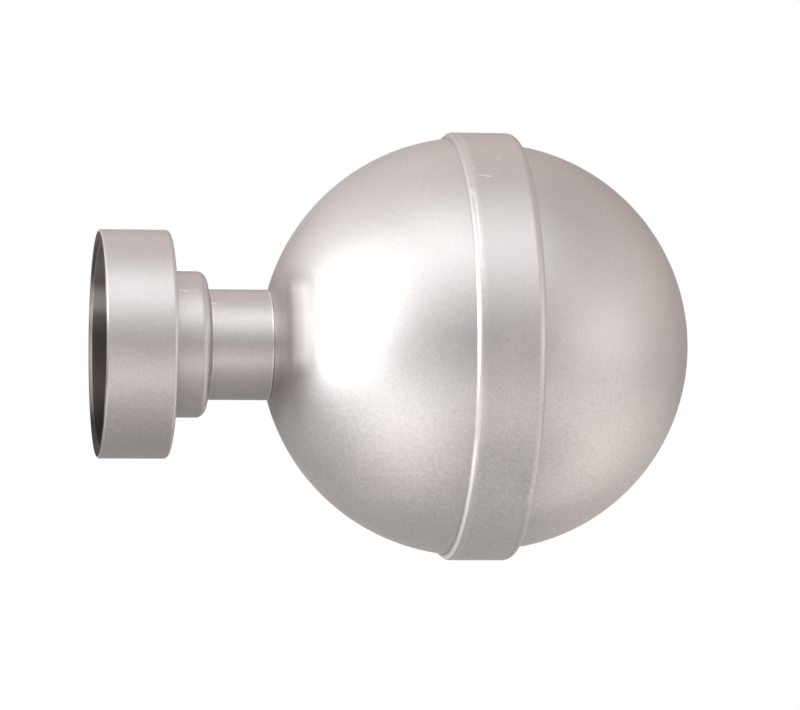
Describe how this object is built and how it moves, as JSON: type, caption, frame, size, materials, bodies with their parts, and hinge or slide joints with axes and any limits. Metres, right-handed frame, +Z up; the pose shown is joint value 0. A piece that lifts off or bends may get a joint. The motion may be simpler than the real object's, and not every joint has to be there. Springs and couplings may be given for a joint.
{
  "type": "curtain pole finial",
  "caption": "Hollow ball finial with a raised centre band and a short neck, on a round socket that slides over the end of a curtain pole.",
  "frame": {"origin": "centre of the socket's floor, where the end of the pole seats", "axes": "+X along the pole's axis from the pole towards the tip of the ball, +Z up, +Y towards the wall behind the pole"},
  "size_m": [0.0834, 0.0604, 0.0604],
  "materials": {
    "satin_nickel": "satin, plated nickel with a fine even grain",
    "zinc_steel": "plain zinc plated steel",
    "dark_steel": "oiled dark steel"
  },
  "bodies": {
    "root": {"pole_socket": "satin_nickel", "neck_sleeve": "satin_nickel", "rear_cap": "satin_nickel", "centre_band": "satin_nickel", "front_cap": "satin_nickel", "tie_screw": "zinc_steel", "weld_nut": "zinc_steel", "grub_screw": "dark_steel"}
  },
  "joints": []
}
